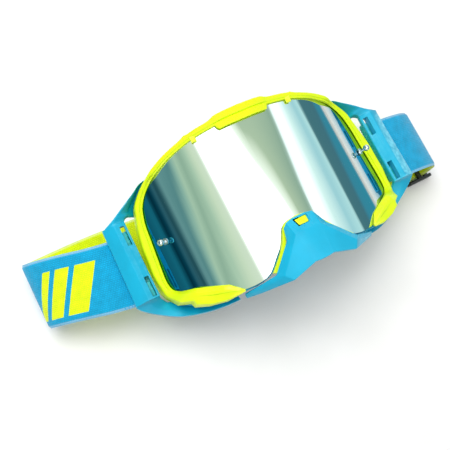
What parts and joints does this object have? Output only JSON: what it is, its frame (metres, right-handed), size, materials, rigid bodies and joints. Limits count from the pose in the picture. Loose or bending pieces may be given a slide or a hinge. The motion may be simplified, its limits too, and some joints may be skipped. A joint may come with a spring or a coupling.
{
  "type": "motocross goggles",
  "caption": "Motocross goggles with mirrored lens, outrigger frame, removable nose guard and elastic strap, lying face up.",
  "frame": {"origin": "on the table under the middle of the goggles, on the underside of the strap that lies there", "axes": "+X towards the goggles' right side as seen from in front, +Y towards the brow, +Z out of the lens, up from the table"},
  "size_m": [0.3036, 0.1137, 0.0952],
  "materials": {
    "yellow_tpu": "satin moulded, fluorescent yellow",
    "blue_nylon": "satin moulded, cyan blue",
    "mirror_lens": "mirror-coated polycarbonate",
    "seal_foam": "closed-cell foam",
    "face_foam": "open-cell foam",
    "fleece": "brushed fleece",
    "strap_webbing": "woven elastic webbing",
    "teal_acetal": "satin moulded",
    "black_acetal": "satin moulded",
    "post_steel": "polished"
  },
  "bodies": {
    "goggles": {"front_frame": "yellow_tpu", "rear_frame": "blue_nylon", "lens": "mirror_lens", "lens_seal": "seal_foam", "foam_base": "seal_foam", "foam_comfort": "face_foam", "foam_fleece": "fleece", "brow_vent_foam": "face_foam", "side_vent_foam_left": "face_foam", "side_vent_foam_right": "face_foam", "cheek_vent_foam_left": "face_foam", "cheek_vent_foam_right": "face_foam", "tear_off_post_left": "post_steel", "tear_off_post_right": "post_steel", "post_washer_left": "black_acetal", "post_washer_right": "black_acetal", "strap_long": "strap_webbing", "strap_short": "strap_webbing", "strap_clip_left": "teal_acetal", "strap_clip_right": "teal_acetal"},
    "guard": {"nose_guard": "blue_nylon", "nose_guard_badge": "yellow_tpu", "nose_liner": "yellow_tpu"},
    "slider": {"strap_slider": "black_acetal"}
  },
  "joints": [
    {"name": "guard_release", "type": "slide", "parent": "goggles", "child": "guard", "axis": [0, 0, 1], "range_m": [0, 0.018]},
    {"name": "slider_adjust", "type": "slide", "parent": "goggles", "child": "slider", "axis": [-1, 0, 0], "range_m": [0, 0.025]}
  ]
}
